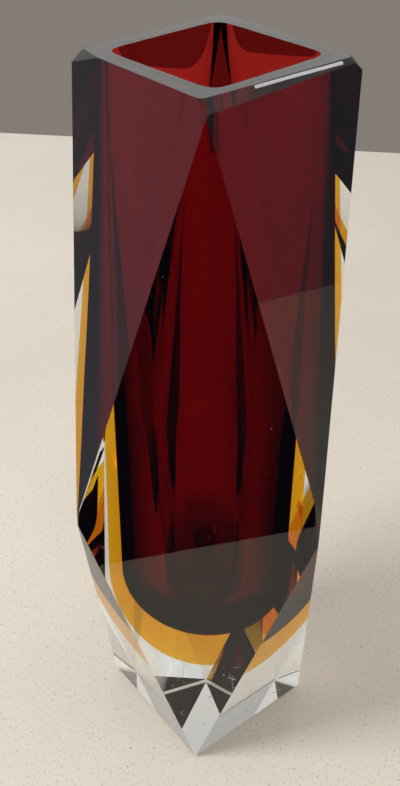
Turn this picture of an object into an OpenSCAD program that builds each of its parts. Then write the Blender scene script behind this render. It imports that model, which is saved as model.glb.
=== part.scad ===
// Hand blown block vase: clear casing, amber layer and ruby core, cut and polished by hand.
// Origin at the middle of the foot, +Z up, a tall six-sided face towards -Y. Millimetres.

/* [Overall] */
// overall height
height = 250; // [160:1:400]
// side of the square mouth, which sets the rim's width
mouth_width = 40; // [24:0.5:70]

/* [Ruby core] */
// how far the mouth's rounded corners stand from the middle, which sets the block's width
mouth_reach = 26.4; // [16:0.1:48]
// wall of the ruby core
ruby_wall = 1.6; // [0.8:0.1:5]
// thickness of the ruby core under the cavity
ruby_floor = 6; // [2:0.5:20]
// height where the pressed sides of the mouth run out into the round bubble below
round_below = 150; // [100:1:230]

/* [Amber layer] */
// amber wall at the rim
amber_rim_wall = 0.8; // [0.4:0.1:4]
// amber wall where the ruby core's bottom starts
amber_low_wall = 4.6; // [1:0.1:10]
// thickness of the amber under the ruby core
amber_floor = 16.5; // [6:0.5:40]

/* [Clear casing] */
// clear wall at the rim
casing_rim_wall = 3.1; // [1.5:0.1:12]
// clear glass between the amber and the block's upright faces
casing_wall = 4.4; // [2:0.1:20]
// clear glass under the amber
casing_floor = 36.5; // [8:0.5:80]

/* [Cuts] */
// side of the square foot that the four lower cuts leave
foot_width = 52; // [30:0.5:90]
// height where the lower cuts run out on the block's corners
lower_cut_top = 116; // [60:1:200]
// height of the narrow corner flat left between the cuts on the left-hand corners
left_flat_height = 7; // [2:0.5:30]
// height of the same flat on the right-hand corners
right_flat_height = 16; // [2:0.5:30]
// lean of those corner flats from upright, in degrees
corner_flat_lean = 4.7; // [0.5:0.1:10]
// turn of the rim square away from the block's diagonals, in degrees
rim_turn = 2.8; // [0:0.1:8]
// turn of the mouth away from the block's diagonals, in degrees
mouth_turn = 4.8; // [0:0.1:8]

/* [Ground edges] */
// bevel on each of the rim's four corners
rim_corner_bevel = 2.4; // [0.5:0.1:5]
// bevel along the rim's back edges
rim_edge_bevel = 0.6; // [0.2:0.1:2]
// bevel along the rim's front right edge, at the front corner
front_bevel_wide = 2.2; // [0.5:0.1:4]
// the same bevel at the right corner
front_bevel_narrow = 0.9; // [0.2:0.1:4]
// inward reach of the nick ground off the rim's left corner
left_nick = 1.8; // [0.2:0.1:4]
// length of that nick along the front left edge
left_nick_length = 10; // [4:0.5:20]
// lean of that nick from upright, in degrees
left_nick_lean = 37; // [20:1:60]
// bevel around the foot
foot_bevel = 0.8; // [0.2:0.1:3]

/* [Fit] */
// gap at each fused joint, so that each layer stays a solid of its own
seam = 0.05; // [0.02:0.01:0.3]

/* [Hidden] */
$fn = 96;
beyond = 3 * height;
// depth cut flat off the tip of the amber's arch
arch_tip = 0.4;
// depth taken off the block's upright corners where the cuts meet
corner_tip = 0.15;
corner_azimuths = [45, 135, 225, 315];

// half width at the mouth, and reach of the round form, for each layer
cavity_half = mouth_width / 2;
cavity_reach = mouth_reach;
ruby_half = cavity_half + ruby_wall;
ruby_reach = cavity_reach + ruby_wall;
amber_half = ruby_half + amber_rim_wall;
amber_reach = ruby_reach + amber_rim_wall;

// heights of the floors, and of the middle of the ball at the ruby core's bottom
amber_bottom = casing_floor;
ruby_bottom = amber_bottom + amber_floor;
cavity_bottom = ruby_bottom + ruby_floor;
ruby_round = ruby_bottom + ruby_reach;

// the amber's round form at the height of that middle, and where its sides run out
amber_low_reach = ruby_reach + amber_low_wall;
amber_drop = ruby_round - amber_bottom;
amber_round_reach = amber_reach + (amber_low_reach - amber_reach) * (height - round_below) / (height - ruby_round);

// the block and its cuts
half_block = amber_low_reach + casing_wall;
half_rim = amber_half + casing_rim_wall;
half_foot = foot_width / 2;
corner_reach = half_block * sqrt(2) - corner_tip;

function lean_between(low, high, rise) = atan((low - high) / rise);
function is_left(azimuth) = azimuth > 90 && azimuth < 270;

// everything outside one flat cut: its outward azimuth, its reach at a level, its lean inward going up
module outside_cut(azimuth, reach, level, lean)
    rotate([0, 0, azimuth])
        translate([reach, 0, level])
            rotate([0, -lean, 0])
                translate([0, -beyond / 2, -beyond / 2])
                    cube([beyond, beyond, beyond]);

module upper_cut(azimuth) {
    flat_height = is_left(azimuth) ? left_flat_height : right_flat_height;
    low = (corner_reach - flat_height * tan(corner_flat_lean)) * cos(rim_turn);
    rise = height - lower_cut_top - flat_height;
    outside_cut(azimuth + rim_turn, half_rim, height, lean_between(low, half_rim, rise));
}

module corner_flat(azimuth)
    outside_cut(azimuth, corner_reach, lower_cut_top, corner_flat_lean);

module lower_cut(azimuth)
    outside_cut(azimuth, half_foot, 0, -lean_between(corner_reach, half_foot, lower_cut_top));

// bevels at 45 degrees on the rim's corners and edges and around the foot
module ground_edges() {
    front_turn = atan((front_bevel_wide - front_bevel_narrow) / (2 * half_rim));
    front_middle = (front_bevel_wide + front_bevel_narrow) / 2;
    nick_turn = atan(left_nick / left_nick_length);
    for (azimuth = [0, 90, 180, 270])
        outside_cut(azimuth + rim_turn, half_rim * sqrt(2) - rim_corner_bevel, height, 45);
    for (azimuth = [45, 135])
        outside_cut(azimuth + rim_turn, half_rim - rim_edge_bevel, height, 45);
    outside_cut(315 + rim_turn - front_turn, half_rim - front_middle, height, 45);
    // the nick starts on the front left edge, its length short of the left corner
    rotate([0, 0, 225 + rim_turn])
        translate([half_rim, left_nick_length - half_rim, 0])
            outside_cut(-nick_turn, 0, height, left_nick_lean);
    for (azimuth = corner_azimuths)
        outside_cut(azimuth, half_foot - foot_bevel, 0, -45);
}

module cut_block()
    difference() {
        translate([-half_block, -half_block, 0])
            cube([2 * half_block, 2 * half_block, height]);
        for (azimuth = corner_azimuths) {
            upper_cut(azimuth);
            corner_flat(azimuth);
            lower_cut(azimuth);
        }
        ground_edges();
    }

// four sides pressed in from the round form, deepest at the mouth, on its corner like the rim
module pressed_sides(half, reach)
    for (azimuth = corner_azimuths)
        outside_cut(azimuth + mouth_turn, half, height, lean_between(reach, half, height - round_below));

// half outline of a bore with a ball-shaped bottom
module bore_outline(reach, bottom, top) {
    intersection() {
        translate([0, bottom + reach])
            circle(r = reach, $fn = 2 * $fn);
        translate([0, bottom])
            square([reach, reach]);
    }
    translate([0, bottom + reach])
        square([reach, top - bottom - reach]);
}

module pressed_bore(half, reach, bottom, top)
    difference() {
        rotate_extrude()
            bore_outline(reach, bottom, top);
        pressed_sides(half, reach);
    }

module cavity()
    pressed_bore(cavity_half, cavity_reach, cavity_bottom, height + seam);

module ruby_form(grow)
    pressed_bore(ruby_half + grow, ruby_reach + grow, ruby_bottom - grow, height + grow);

// half outline of the amber's turned form: a slow taper above a pointed arch
module amber_outline(grow) {
    low = amber_low_reach + grow;
    drop = amber_drop + grow;
    point = drop + arch_tip;
    arch_offset = (point * point - low * low) / (2 * low);
    intersection() {
        translate([-arch_offset, ruby_round])
            circle(r = low + arch_offset, $fn = 4 * $fn);
        translate([0, ruby_round - drop])
            square([low, drop]);
    }
    polygon([
        [0, ruby_round],
        [low, ruby_round],
        [amber_reach + grow, height + grow],
        [0, height + grow]
    ]);
}

module amber_form(grow)
    difference() {
        rotate_extrude()
            amber_outline(grow);
        pressed_sides(amber_half + grow, amber_round_reach + grow);
    }

module clear_casing()
    color([0.86, 0.90, 0.90, 0.35])
        difference() {
            cut_block();
            amber_form(seam);
        }

module amber_layer()
    color([0.85, 0.55, 0.12, 0.6])
        difference() {
            intersection() {
                amber_form(0);
                cylinder(r = beyond, h = height);
            }
            ruby_form(seam);
        }

module ruby_core()
    color([0.45, 0.03, 0.07, 0.85])
        difference() {
            ruby_form(0);
            cavity();
        }

clear_casing();
amber_layer();
ruby_core();
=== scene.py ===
import random
from math import atan, cos, degrees, hypot, pi, radians, sin, sqrt, tan

import bmesh
import bpy
from mathutils import Matrix, Vector, noise


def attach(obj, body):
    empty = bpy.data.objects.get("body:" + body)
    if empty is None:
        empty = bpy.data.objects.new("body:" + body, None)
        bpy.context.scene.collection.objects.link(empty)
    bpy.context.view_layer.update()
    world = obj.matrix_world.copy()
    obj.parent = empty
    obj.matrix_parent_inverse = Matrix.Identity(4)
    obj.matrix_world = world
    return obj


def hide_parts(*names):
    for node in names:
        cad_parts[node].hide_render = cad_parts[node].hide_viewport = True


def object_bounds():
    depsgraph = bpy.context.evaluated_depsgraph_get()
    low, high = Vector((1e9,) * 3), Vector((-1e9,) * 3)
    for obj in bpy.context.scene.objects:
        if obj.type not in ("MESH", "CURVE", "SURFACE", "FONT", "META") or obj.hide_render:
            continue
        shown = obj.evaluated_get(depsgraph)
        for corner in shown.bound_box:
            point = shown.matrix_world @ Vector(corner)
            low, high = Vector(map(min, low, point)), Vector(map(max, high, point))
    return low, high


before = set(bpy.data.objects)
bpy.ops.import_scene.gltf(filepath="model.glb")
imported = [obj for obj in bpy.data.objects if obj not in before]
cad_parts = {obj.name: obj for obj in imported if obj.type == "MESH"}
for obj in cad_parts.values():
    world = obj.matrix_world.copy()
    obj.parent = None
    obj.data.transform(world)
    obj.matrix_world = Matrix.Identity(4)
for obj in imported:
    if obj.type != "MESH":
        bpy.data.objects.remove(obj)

cadLow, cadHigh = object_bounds()
scene = bpy.context.scene
mm = 0.001
white = (1, 1, 1, 1)
tiny = 1e-7  # closer than this to a cut or to the axis is on it
nearRim = 0.01 * mm  # an edge this close to the top belongs to the rim

# the clear outer block; angles are in degrees
casing = {
    "height": cadHigh.z,
    "halfBlock": cadHigh.x,
    "halfRim": 25.5 * mm,
    "halfFoot": 26 * mm,
    "lowerCutTop": 116 * mm,
    "leftFlat": 7 * mm,  # height of the narrow flat on each left corner
    "rightFlat": 16 * mm,
    "flatLean": 4.7,
    "rimTurn": 2.8,
    "cornerBevel": 2.4 * mm,
    "edgeBevel": 0.6 * mm,
    "frontWide": 2.2 * mm,  # the front right bevel, wide at the front corner
    "frontNarrow": 0.9 * mm,
    "nick": 1.8 * mm,
    "nickLength": 10 * mm,
    "nickLean": 37,
    "footBevel": 0.8 * mm,
    "cornerTip": 0.15 * mm,
    "arris": 0.2 * mm,  # what the polishing felt takes off a sharp edge
}


def turned(azimuth, x, y, z):
    return Matrix.Rotation(radians(azimuth), 3, "Z") @ Vector((x, y, z))


# takes off everything outside one plane and closes the cut
def grindPlane(bm, at, outward):
    parts = bm.verts[:] + bm.edges[:] + bm.faces[:]
    cut = bmesh.ops.bisect_plane(bm, geom=parts, plane_co=at, plane_no=outward, clear_outer=True, dist=tiny)
    rim = [e for e in cut["geom_cut"] if isinstance(e, bmesh.types.BMEdge) and e.is_boundary]
    if rim:
        bmesh.ops.contextual_create(bm, geom=rim)


# the same for a ground face given by its azimuth, its reach at a level and its lean
def grindFlat(bm, azimuth, reach, level, lean):
    at = turned(azimuth, reach, 0, level)
    grindPlane(bm, at, turned(azimuth, cos(radians(lean)), 0, sin(radians(lean))))


# made before any face is held, because a new layer drops the ones held
def faceMarks(bm):
    for name in ("openAir", "dyed"):
        bm.faces.layers.float.new(name)


def markFaces(bm, name, chosen):
    layer = bm.faces.layers.float[name]
    for f in bm.faces:
        f[layer] = 1.0 if f in chosen else 0.0


def cutBlock():
    c = casing
    bm = bmesh.new()
    faceMarks(bm)
    bmesh.ops.create_cube(bm, size=1)
    bmesh.ops.scale(bm, vec=(2 * c["halfBlock"], 2 * c["halfBlock"], c["height"]), verts=bm.verts)
    bmesh.ops.translate(bm, vec=(0, 0, c["height"] / 2), verts=bm.verts)
    cornerReach = c["halfBlock"] * sqrt(2) - c["cornerTip"]
    for azimuth in (45, 135, 225, 315):
        flat = c["leftFlat"] if 90 < azimuth < 270 else c["rightFlat"]
        low = (cornerReach - flat * tan(radians(c["flatLean"]))) * cos(radians(c["rimTurn"]))
        rise = c["height"] - c["lowerCutTop"] - flat
        upperLean = degrees(atan((low - c["halfRim"]) / rise))
        lowerLean = -degrees(atan((cornerReach - c["halfFoot"]) / c["lowerCutTop"]))
        grindFlat(bm, azimuth + c["rimTurn"], c["halfRim"], c["height"], upperLean)
        grindFlat(bm, azimuth, cornerReach, c["lowerCutTop"], c["flatLean"])
        grindFlat(bm, azimuth, c["halfFoot"], 0, lowerLean)
        grindFlat(bm, azimuth, c["halfFoot"] - c["footBevel"], 0, -45)
    for azimuth in (0, 90, 180, 270):
        grindFlat(bm, azimuth + c["rimTurn"], c["halfRim"] * sqrt(2) - c["cornerBevel"], c["height"], 45)
    for azimuth in (45, 135):
        grindFlat(bm, azimuth + c["rimTurn"], c["halfRim"] - c["edgeBevel"], c["height"], 45)
    frontTurn = degrees(atan((c["frontWide"] - c["frontNarrow"]) / (2 * c["halfRim"])))
    frontMiddle = (c["frontWide"] + c["frontNarrow"]) / 2
    grindFlat(bm, 315 + c["rimTurn"] - frontTurn, c["halfRim"] - frontMiddle, c["height"], 45)
    grindNick(bm)
    bmesh.ops.bevel(bm, geom=bm.edges[:] + bm.verts[:], offset=c["arris"], affect="EDGES", segments=2,
                    profile=0.5, material=-1, clamp_overlap=True)
    bmesh.ops.recalc_face_normals(bm, faces=bm.faces)
    return bm


# starts on the front left edge, its length short of the left corner
def grindNick(bm):
    c = casing
    azimuth = 225 + c["rimTurn"]
    at = turned(azimuth, c["halfRim"], c["nickLength"] - c["halfRim"], c["height"])
    lean = radians(c["nickLean"])
    azimuth -= degrees(atan(c["nick"] / c["nickLength"]))
    grindPlane(bm, at, turned(azimuth, cos(lean), 0, sin(lean)))


# what the blown forms share
blown = {
    "turn": 45 + 4.8,  # of the mouth, in degrees
    "steps": 144,
    "rounds": 40,
    "rises": 30,
    "merge": 0.001 * mm,
    "seam": 0.05 * mm,
    "roundBelow": 150 * mm,  # round under this height, pressed square above it
    "wavesRound": 1.1,  # how fast the hand blown wall wanders, round it and up it
    "wavesUp": 14,
}
# the walls of the three forms; a higher "square" is a flatter side at the mouth
amber = {"reach": 28.8 * mm, "reachLow": 32.6 * mm, "roundAt": 81.0 * mm, "drop": 44.5 * mm,
         "square": 9.0, "wander": 0.25 * mm}
ruby = {"reach": 28.0 * mm, "reachLow": 28.0 * mm, "roundAt": 81.0 * mm, "drop": 28.0 * mm,
        "square": 9.4, "wander": 0.08 * mm}
cavity = {"reach": 26.4 * mm, "reachLow": 26.4 * mm, "roundAt": 85.4 * mm, "drop": 26.4 * mm,
          "square": 10.2, "wander": 0.04 * mm}


# a bubble spun round with a rounded end, then pressed square
def blowForm(form, top, swell=0.0):
    bm = bmesh.new()
    faceMarks(bm)
    outline = []
    for i in range(blown["rounds"] + 1):
        a = pi / 2 * i / blown["rounds"]
        outline.append((form["reachLow"] * sin(a), form["roundAt"] - form["drop"] * cos(a)))
    for i in range(1, blown["rises"] + 1):
        t = i / blown["rises"]
        outline.append((form["reachLow"] + (form["reach"] - form["reachLow"]) * t,
                        form["roundAt"] + (top - form["roundAt"]) * t))
    points = [bm.verts.new((x, 0, z)) for x, z in outline]
    strings = [bm.edges.new(pair) for pair in zip(points, points[1:])]
    bmesh.ops.spin(bm, geom=points + strings, cent=(0, 0, 0), axis=(0, 0, 1), dvec=(0, 0, 0),
                   angle=2 * pi, steps=blown["steps"], use_merge=True)
    bmesh.ops.remove_doubles(bm, verts=bm.verts, dist=blown["merge"])
    pressSquare(bm, form, top)
    bmesh.ops.recalc_face_normals(bm, faces=bm.faces)
    bm.normal_update()
    if min(bm.verts, key=lambda v: v.co.z).normal.z > 0:
        bmesh.ops.reverse_faces(bm, faces=bm.faces)
        bm.normal_update()
    if swell:
        out = [v.normal.copy() for v in bm.verts]
        for v, n in zip(bm.verts, out):
            v.co += n * swell
    for v in bm.verts:
        if v.is_boundary:
            v.co.z = top
    return bm


# corners keep the blown reach while the sides between them are pressed in, fully at the mouth
def pressSquare(bm, form, top):
    back = Matrix.Rotation(radians(-blown["turn"]), 3, "Z")
    for v in bm.verts:
        reach = hypot(v.co.x, v.co.y)
        if reach < tiny:
            continue
        t = max(0.0, (v.co.z - blown["roundBelow"]) / (top - blown["roundBelow"]))
        press = 0.5 - t * (0.5 - 1 / form["square"])
        d = (back @ Vector((v.co.x, v.co.y, 0))) / reach
        new = reach * 2 ** (press - 0.5) * (abs(d.x) ** (1 / press) + abs(d.y) ** (1 / press)) ** -press
        spot = Vector((d.x * blown["wavesRound"], d.y * blown["wavesRound"], v.co.z * blown["wavesUp"]))
        new += form["wander"] * (1 - t) * noise.noise(spot)
        v.co.x *= new / reach
        v.co.y *= new / reach


def joinMesh(bm, other):
    held = bpy.data.meshes.new("held")
    other.to_mesh(held)
    other.free()
    bm.from_mesh(held)
    bpy.data.meshes.remove(held)


def rimEdges(bm, top, apart=()):
    return [e for e in bm.edges if e.is_boundary and e not in apart
            and all(abs(v.co.z - top) < nearRim for v in e.verts)]


# flat faces stay crisp where they meet smooth ones
def finishPiece(name, bm, material, flatFaces):
    mesh = bpy.data.meshes.new(name)
    for f in bm.faces:
        f.smooth = f not in flatFaces
    for e in bm.edges:
        if len({f.smooth for f in e.link_faces}) > 1:
            e.smooth = False
    bm.to_mesh(mesh)
    bm.free()
    mesh.materials.append(material)
    piece = bpy.data.objects.new(name, mesh)
    scene.collection.objects.link(piece)
    print("made", name, len(mesh.polygons), "faces")
    return piece


def addNoise(tree, place, scale, detail=2):
    grain = tree.nodes.new("ShaderNodeTexNoise")
    grain.inputs["Scale"].default_value = scale
    grain.inputs["Detail"].default_value = detail
    tree.links.new(place, grain.inputs["Vector"])
    return grain


# 0 up to the first bound, 1 from the second on
def addBand(tree, value, first, second):
    band = tree.nodes.new("ShaderNodeMapRange")
    band.inputs["From Min"].default_value = first
    band.inputs["From Max"].default_value = second
    tree.links.new(value, band.inputs["Value"])
    return band


# the share and both colours may each be a socket or a plain value
def addMix(tree, share, first, second):
    mix = tree.nodes.new("ShaderNodeMixRGB")
    for socket, given in zip(mix.inputs, (share, first, second)):
        if isinstance(given, bpy.types.NodeSocket):
            tree.links.new(given, socket)
        else:
            socket.default_value = given
    return mix


def addProduct(tree, first, second):
    times = tree.nodes.new("ShaderNodeMath")
    times.operation = "MULTIPLY"
    tree.links.new(first, times.inputs[0])
    tree.links.new(second, times.inputs[1])
    return times.outputs[0]


# how the polished faces look; every scale is the noise's own, finer as it grows
polish = {
    "waveDetail": 1.5,
    "waveRoughness": 0.4,
    "wipeScale": 55,
    "wipeDetail": 5,
    "wipeBend": 1.2,
    "wipeBand": (0.58, 0.75),
    "scuffScale": 95,
    "scuffLine": (0.022, 0.012),
    "scuffBend": 0.012,
    "scuffBendScale": 90,
    "patchScale": 130,
    "patchBand": (0.56, 0.62),
    "footBand": (20 * mm, 8 * mm),  # scuffs fade out between these heights
}


# polish waves, faint wipe marks and scuffs, for every face that meets the air
def polishGroup():
    p = polish
    group = bpy.data.node_groups.new("polishedGlass", "ShaderNodeTree")
    for name in ("waveScale", "waveDepth", "haze", "scuffs"):
        group.interface.new_socket(name, in_out="INPUT", socket_type="NodeSocketFloat")
    for name in ("roughness", "height"):
        group.interface.new_socket(name, in_out="OUTPUT", socket_type="NodeSocketFloat")
    asked = group.nodes.new("NodeGroupInput").outputs
    given = group.nodes.new("NodeGroupOutput").inputs
    place = group.nodes.new("ShaderNodeTexCoord").outputs["Object"]
    waves = addNoise(group, place, 1, p["waveDetail"])
    waves.inputs["Roughness"].default_value = p["waveRoughness"]
    group.links.new(asked["waveScale"], waves.inputs["Scale"])
    group.links.new(addProduct(group, waves.outputs["Fac"], asked["waveDepth"]), given["height"])
    wipes = addNoise(group, place, p["wipeScale"], p["wipeDetail"])
    wipes.inputs["Distortion"].default_value = p["wipeBend"]
    hazy = addBand(group, wipes.outputs["Fac"], *p["wipeBand"])
    group.links.new(asked["haze"], hazy.inputs["To Max"])
    # short scuffs from standing and sliding, only around the foot
    warp = addNoise(group, place, p["scuffBendScale"])
    bent = addMix(group, p["scuffBend"], place, warp.outputs["Color"])
    strokes = group.nodes.new("ShaderNodeTexVoronoi")
    strokes.feature = "DISTANCE_TO_EDGE"
    strokes.inputs["Scale"].default_value = p["scuffScale"]
    group.links.new(bent.outputs["Color"], strokes.inputs["Vector"])
    patches = addNoise(group, place, p["patchScale"])
    levels = group.nodes.new("ShaderNodeSeparateXYZ")
    group.links.new(place, levels.inputs[0])
    worn = addBand(group, strokes.outputs["Distance"], *p["scuffLine"]).outputs["Result"]
    some = addBand(group, patches.outputs["Fac"], *p["patchBand"]).outputs["Result"]
    low = addBand(group, levels.outputs["Z"], *p["footBand"]).outputs["Result"]
    for more in (some, low, asked["scuffs"]):
        worn = addProduct(group, worn, more)
    both = group.nodes.new("ShaderNodeMath")
    group.links.new(hazy.outputs["Result"], both.inputs[0])
    group.links.new(worn, both.inputs[1])
    group.links.new(both.outputs[0], given["roughness"])
    return group


polished = polishGroup()


# clear through where a layer is fused to the next, polished glass where it meets the air
def layerGlass(name, facts):
    material = bpy.data.materials.new(name)
    material.use_nodes = True
    tree = material.node_tree
    tree.nodes.clear()
    out = tree.nodes.new("ShaderNodeOutputMaterial")
    fused = tree.nodes.new("ShaderNodeBsdfTransparent")
    fused.inputs["Color"].default_value = white
    if facts["skin"]:
        skin = addMix(tree, faceMask(tree, "dyed"), white, (*facts["skin"], 1))
        tree.links.new(skin.outputs["Color"], fused.inputs["Color"])
    glass = tree.nodes.new("ShaderNodeBsdfPrincipled")
    glass.inputs["Base Color"].default_value = white
    glass.inputs["Transmission Weight"].default_value = 1
    glass.inputs["IOR"].default_value = facts["ior"]
    finish = tree.nodes.new("ShaderNodeGroup")
    finish.node_tree = polished
    for fact in ("waveScale", "waveDepth", "haze", "scuffs"):
        finish.inputs[fact].default_value = facts[fact]
    bump = tree.nodes.new("ShaderNodeBump")
    bump.inputs["Strength"].default_value = 1
    bump.inputs["Distance"].default_value = 1
    tree.links.new(finish.outputs["height"], bump.inputs["Height"])
    tree.links.new(finish.outputs["roughness"], glass.inputs["Roughness"])
    tree.links.new(bump.outputs["Normal"], glass.inputs["Normal"])
    pick = tree.nodes.new("ShaderNodeMixShader")
    tree.links.new(faceMask(tree, "openAir"), pick.inputs["Fac"])
    tree.links.new(fused.outputs[0], pick.inputs[1])
    tree.links.new(glass.outputs[0], pick.inputs[2])
    tree.links.new(pick.outputs[0], out.inputs["Surface"])
    body = tree.nodes.new("ShaderNodeVolumeAbsorption")
    body.inputs["Color"].default_value = (*facts["tint"], 1)
    body.inputs["Density"].default_value = facts["depth"]
    tree.links.new(body.outputs[0], out.inputs["Volume"])
    return material


def faceMask(tree, name):
    mask = tree.nodes.new("ShaderNodeAttribute")
    mask.attribute_name = name
    return mask.outputs["Fac"]


# the tint fills the glass to its depth, and the skin colours only the layer's outer wall
clearGlass = layerGlass("clearGlass", {
    "ior": 1.5, "waveScale": 30, "waveDepth": 0.02 * mm, "haze": 0.03, "scuffs": 0.45,
    "skin": None, "tint": (0.15, 0.32, 0.25), "depth": 1.6})
amberGlass = layerGlass("amberGlass", {
    "ior": 1.5, "waveScale": 60, "waveDepth": 0.02 * mm, "haze": 0.02, "scuffs": 0,
    "skin": (0.95, 0.71, 0.16), "tint": (0.96, 0.88, 0.45), "depth": 60})
rubyGlass = layerGlass("rubyGlass", {
    "ior": 1.5, "waveScale": 45, "waveDepth": 0.04 * mm, "haze": 0.03, "scuffs": 0,
    "skin": None, "tint": (0.775, 0.04, 0.42), "depth": 2400})


# one fused layer: its outer wall, its inner wall, and the ground rim between them
def buildLayer(name, outerForm, innerForm, innerSwell, innerAir, material):
    top = casing["height"]
    bm = blowForm(outerForm, top)
    outside = set(bm.faces)
    rimOut = rimEdges(bm, top)
    joinMesh(bm, blowForm(innerForm, top, innerSwell))
    inside = [f for f in bm.faces if f not in outside]
    bmesh.ops.reverse_faces(bm, faces=inside)
    rimIn = rimEdges(bm, top, set(rimOut))
    rim = set(bmesh.ops.bridge_loops(bm, edges=rimOut + rimIn)["faces"])
    bmesh.ops.recalc_face_normals(bm, faces=bm.faces)
    markFaces(bm, "openAir", rim | set(inside) if innerAir else rim)
    markFaces(bm, "dyed", outside)
    return finishPiece(name, bm, material, rim)


def buildCasing():
    top = casing["height"]
    bm = cutBlock()
    roof = [f for f in bm.faces if f.normal.z > 0.999 and f.calc_center_median().z > top - nearRim]
    bmesh.ops.delete(bm, geom=roof, context="FACES_ONLY")
    rimOut = rimEdges(bm, top)
    outside = set(bm.faces)
    joinMesh(bm, blowForm(amber, top, blown["seam"]))
    rimIn = rimEdges(bm, top, set(rimOut))
    filled = bmesh.ops.triangle_fill(bm, use_beauty=True, edges=rimOut + rimIn)["geom"]
    outside |= {f for f in filled if isinstance(f, bmesh.types.BMFace)}
    bmesh.ops.recalc_face_normals(bm, faces=bm.faces)
    markFaces(bm, "openAir", outside | addSeeds(bm))
    return finishPiece("clearCasing", bm, clearGlass, outside)


# seed bubbles left in the clear glass
seeds = {
    "count": 34,
    "draw": 7,
    "size": (0.1, 0.26),  # radius in mm
    "stretch": (1.0, 1.7),
    "spread": 34,  # either way from the axis, in mm
    "heights": (8, 232),  # in mm
    "underAmber": 38 * mm,  # below this height they stay near the axis
    "nearAxis": 20 * mm,
    "offAmber": 33.5 * mm,
    "offCuts": 2 * mm,
    "widest": 52.3 * mm,  # reach of the block's corners where the cuts meet
}


# how far the cuts let the block reach at a height, along its diagonals
def cutReach(z):
    c = casing
    if z < c["lowerCutTop"]:
        return c["halfFoot"] + (seeds["widest"] - c["halfFoot"]) * z / c["lowerCutTop"]
    up = (z - c["lowerCutTop"]) / (c["height"] - c["lowerCutTop"])
    return seeds["widest"] - (seeds["widest"] - c["halfRim"]) * up


# well inside the cuts and off the amber
def roomForSeed(x, y, z):
    if z < seeds["underAmber"]:
        return hypot(x, y) < seeds["nearAxis"]
    clear = (abs(x) + abs(y)) / sqrt(2) < cutReach(z) - seeds["offCuts"]
    return clear and hypot(x, y) > seeds["offAmber"]


def addSeeds(bm):
    s = seeds
    rng = random.Random(s["draw"])
    before = set(bm.faces)
    spots = []
    while len(spots) < s["count"]:
        x = rng.uniform(-s["spread"], s["spread"]) * mm
        y = rng.uniform(-s["spread"], s["spread"]) * mm
        z = rng.uniform(*s["heights"]) * mm
        if roomForSeed(x, y, z):
            spots.append((x, y, z, rng.uniform(*s["size"]) * mm))
    for x, y, z, size in spots:
        place = Matrix.Translation((x, y, z)) @ Matrix.Scale(rng.uniform(*s["stretch"]), 4, (0, 0, 1))
        bmesh.ops.create_icosphere(bm, subdivisions=2, radius=size, matrix=place)
    bubbles = {f for f in bm.faces if f not in before}
    bmesh.ops.reverse_faces(bm, faces=list(bubbles))
    return bubbles


print("cutting the clear casing")
clearCasing = buildCasing()
print("blowing the amber layer and the ruby core")
amberLayer = buildLayer("amberLayer", amber, ruby, blown["seam"], False, amberGlass)
rubyCore = buildLayer("rubyCore", ruby, cavity, 0.0, True, rubyGlass)
for piece, node, slot in ((clearCasing, "clear_casing", "clear_glass"),
                          (amberLayer, "amber_layer", "amber_glass"),
                          (rubyCore, "ruby_core", "ruby_glass")):
    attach(piece, "root")
    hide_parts(node)


# a pale honed stone table, its front edge running off at an angle, with the dim room past it
table = {
    "left": -0.7,
    "right": 0.9,
    "back": 0.56,
    "frontMiddle": -0.151,
    "frontSlope": -0.39,
    "thick": 0.03,
    "under": 0.1 * mm,
    "grainScale": 900,
    "grainDetail": 5,
    "grain": ((0.27, (0.36, 0.33, 0.285)), (0.36, (0.62, 0.57, 0.50)), (0.46, (0.70, 0.65, 0.575))),
    "cloudScale": 7,
    "cloudTone": (0.84, 1.08),
    "roughness": 0.5,
}


# stops are positions and colours, from the lowest up
def addRamp(tree, value, stops):
    ramp = tree.nodes.new("ShaderNodeValToRGB")
    held = ramp.color_ramp.elements
    for element, (at, colour) in zip(held, (stops[0], stops[-1])):
        element.position = at
        element.color = (*colour, 1)
    for at, colour in stops[1:-1]:
        held.new(at).color = (*colour, 1)
    tree.links.new(value, ramp.inputs["Fac"])
    return ramp.outputs["Color"]


def buildTable():
    t = table
    bm = bmesh.new()
    bmesh.ops.create_cube(bm, size=1)
    bmesh.ops.scale(bm, vec=(t["right"] - t["left"], 2 * t["back"], t["thick"]), verts=bm.verts)
    middle = ((t["left"] + t["right"]) / 2, 0, -t["thick"] / 2 - t["under"])
    bmesh.ops.translate(bm, vec=middle, verts=bm.verts)
    grindPlane(bm, Vector((0, t["frontMiddle"], 0)), Vector((t["frontSlope"], -1, 0)).normalized())
    bmesh.ops.recalc_face_normals(bm, faces=bm.faces)
    mesh = bpy.data.meshes.new("stoneTable")
    bm.to_mesh(mesh)
    bm.free()
    top = bpy.data.objects.new("stoneTable", mesh)
    scene.collection.objects.link(top)
    mesh.materials.append(paleStone())


def paleStone():
    stone = bpy.data.materials.new("paleStone")
    stone.use_nodes = True
    tree = stone.node_tree
    skin = tree.nodes["Principled BSDF"]
    place = tree.nodes.new("ShaderNodeTexCoord").outputs["Object"]
    grain = addNoise(tree, place, table["grainScale"], table["grainDetail"])
    speck = addRamp(tree, grain.outputs["Fac"], table["grain"])
    # broad, faint clouding
    cloud = addNoise(tree, place, table["cloudScale"])
    faint = addBand(tree, cloud.outputs["Fac"], 0, 1)
    faint.inputs["To Min"].default_value = table["cloudTone"][0]
    faint.inputs["To Max"].default_value = table["cloudTone"][1]
    tone = addMix(tree, 1, speck, faint.outputs["Result"])
    tone.blend_type = "MULTIPLY"
    tree.links.new(tone.outputs["Color"], skin.inputs["Base Color"])
    skin.inputs["Roughness"].default_value = table["roughness"]
    return stone


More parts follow.
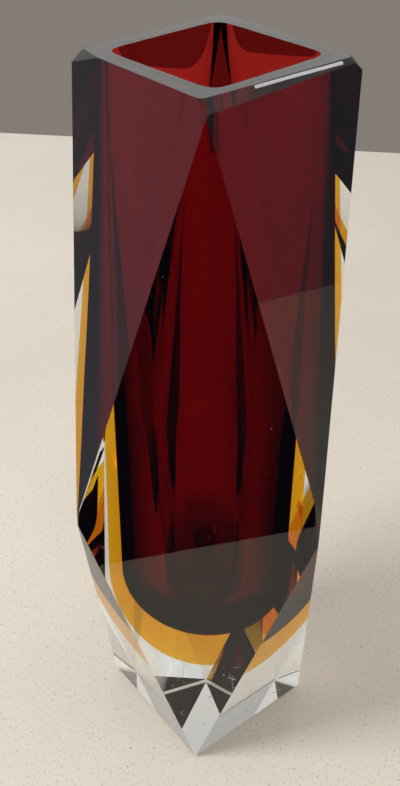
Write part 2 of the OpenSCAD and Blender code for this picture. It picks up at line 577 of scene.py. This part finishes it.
# a room lit softly from above: dim in front, with paler walls left, right and behind
room = {
    "overhead": ((0.50, (0.55, 0.54, 0.52)), (0.56, (0.85, 0.833, 0.8075)),
                 (0.66, (1.25, 1.225, 1.1875)), (0.80, (0.95, 0.931, 0.9025)),
                 (1.0, (0.6, 0.59, 0.57))),
    "dim": (0.048, 0.040, 0.066),
    "leftWall": (0.52, 0.48, 0.56),
    "rightWall": (0.28, 0.255, 0.305),
    "backWall": (0.27, 0.245, 0.215),
    "backBand": (0.3, 0.6),  # how far round the back wall fades in
    "horizonBand": (-0.01, 0.06),  # where the walls give way to the ceiling
    "strength": 0.84,
}
keySoftbox = {"at": (-0.8, -0.35, 0.9), "aim": (0, 0, 0.08), "wide": 0.4, "deep": 0.4,
              "power": 9.5, "colour": (1, 0.97, 0.93), "roll": 0}
# the thin lamp that draws the bright line on the front bevel
tubeLamp = {"at": (0.92, 0.345, 1.118), "aim": (0.02, -0.012, 0.25), "wide": 0.135, "deep": 0.005,
            "power": 0.02, "colour": (0.94, 0.93, 1), "roll": -56}


def addSoftbox(name, facts):
    lamp = bpy.data.lights.new(name, "AREA")
    lamp.shape = "RECTANGLE"
    lamp.size = facts["wide"]
    lamp.size_y = facts["deep"]
    lamp.energy = facts["power"]
    lamp.color = facts["colour"]
    stand = bpy.data.objects.new(name, lamp)
    stand.location = facts["at"]
    facing = (Vector(facts["aim"]) - Vector(facts["at"])).to_track_quat("-Z", "Y").to_matrix()
    stand.rotation_euler = (facing @ Matrix.Rotation(radians(facts["roll"]), 3, "Z")).to_euler()
    scene.collection.objects.link(stand)


def lightRoom():
    world = bpy.data.worlds.new("room")
    scene.world = world
    world.use_nodes = True
    tree = world.node_tree
    sky = tree.nodes["Background"]
    place = tree.nodes.new("ShaderNodeTexCoord")
    ways = tree.nodes.new("ShaderNodeSeparateXYZ")
    tree.links.new(place.outputs["Generated"], ways.inputs[0])
    lift = addBand(tree, ways.outputs["Z"], -1, 1)
    overhead = addRamp(tree, lift.outputs["Result"], room["overhead"])
    left, dim, right = room["leftWall"], room["dim"], room["rightWall"]
    along = addBand(tree, ways.outputs["X"], -1, 1)
    walls = addRamp(tree, along.outputs["Result"],
                    ((0.0, left), (0.08, left), (0.2, dim), (0.8, dim), (0.92, right), (1.0, right)))
    behind = addBand(tree, ways.outputs["Y"], *room["backBand"])
    around = addMix(tree, behind.outputs["Result"], walls, (*room["backWall"], 1))
    horizon = addBand(tree, ways.outputs["Z"], *room["horizonBand"])
    blend = addMix(tree, horizon.outputs["Result"], around.outputs["Color"], overhead)
    tree.links.new(blend.outputs["Color"], sky.inputs["Color"])
    sky.inputs["Strength"].default_value = room["strength"]
    addSoftbox("keySoftbox", keySoftbox)
    addSoftbox("tubeLamp", tubeLamp)


view = {"lens": 44.42, "shiftX": -0.0004, "shiftY": 0.0162, "clip": 0.01,
        "at": (0.02523, -0.24775, 0.32593), "yaw": 6.59, "tilt": 53.0, "roll": 0.4}


def setCamera():
    lens = bpy.data.cameras.new("camera")
    lens.lens = view["lens"]
    lens.shift_x = view["shiftX"]
    lens.shift_y = view["shiftY"]
    lens.clip_start = view["clip"]
    camera = bpy.data.objects.new("camera", lens)
    aim = Matrix.Rotation(radians(view["yaw"]), 4, "Z") @ Matrix.Rotation(radians(view["tilt"]), 4, "X")
    aim = aim @ Matrix.Rotation(radians(view["roll"]), 4, "Z")
    camera.matrix_world = Matrix.Translation(view["at"]) @ aim
    scene.collection.objects.link(camera)
    scene.camera = camera


print("laying the table and hanging the lights")
buildTable()
lightRoom()
setCamera()
scene.view_settings.view_transform = "Standard"
# light crosses many layers of glass
scene.cycles.max_bounces = 40
scene.cycles.transmission_bounces = 40
scene.cycles.glossy_bounces = 12
scene.cycles.transparent_max_bounces = 64
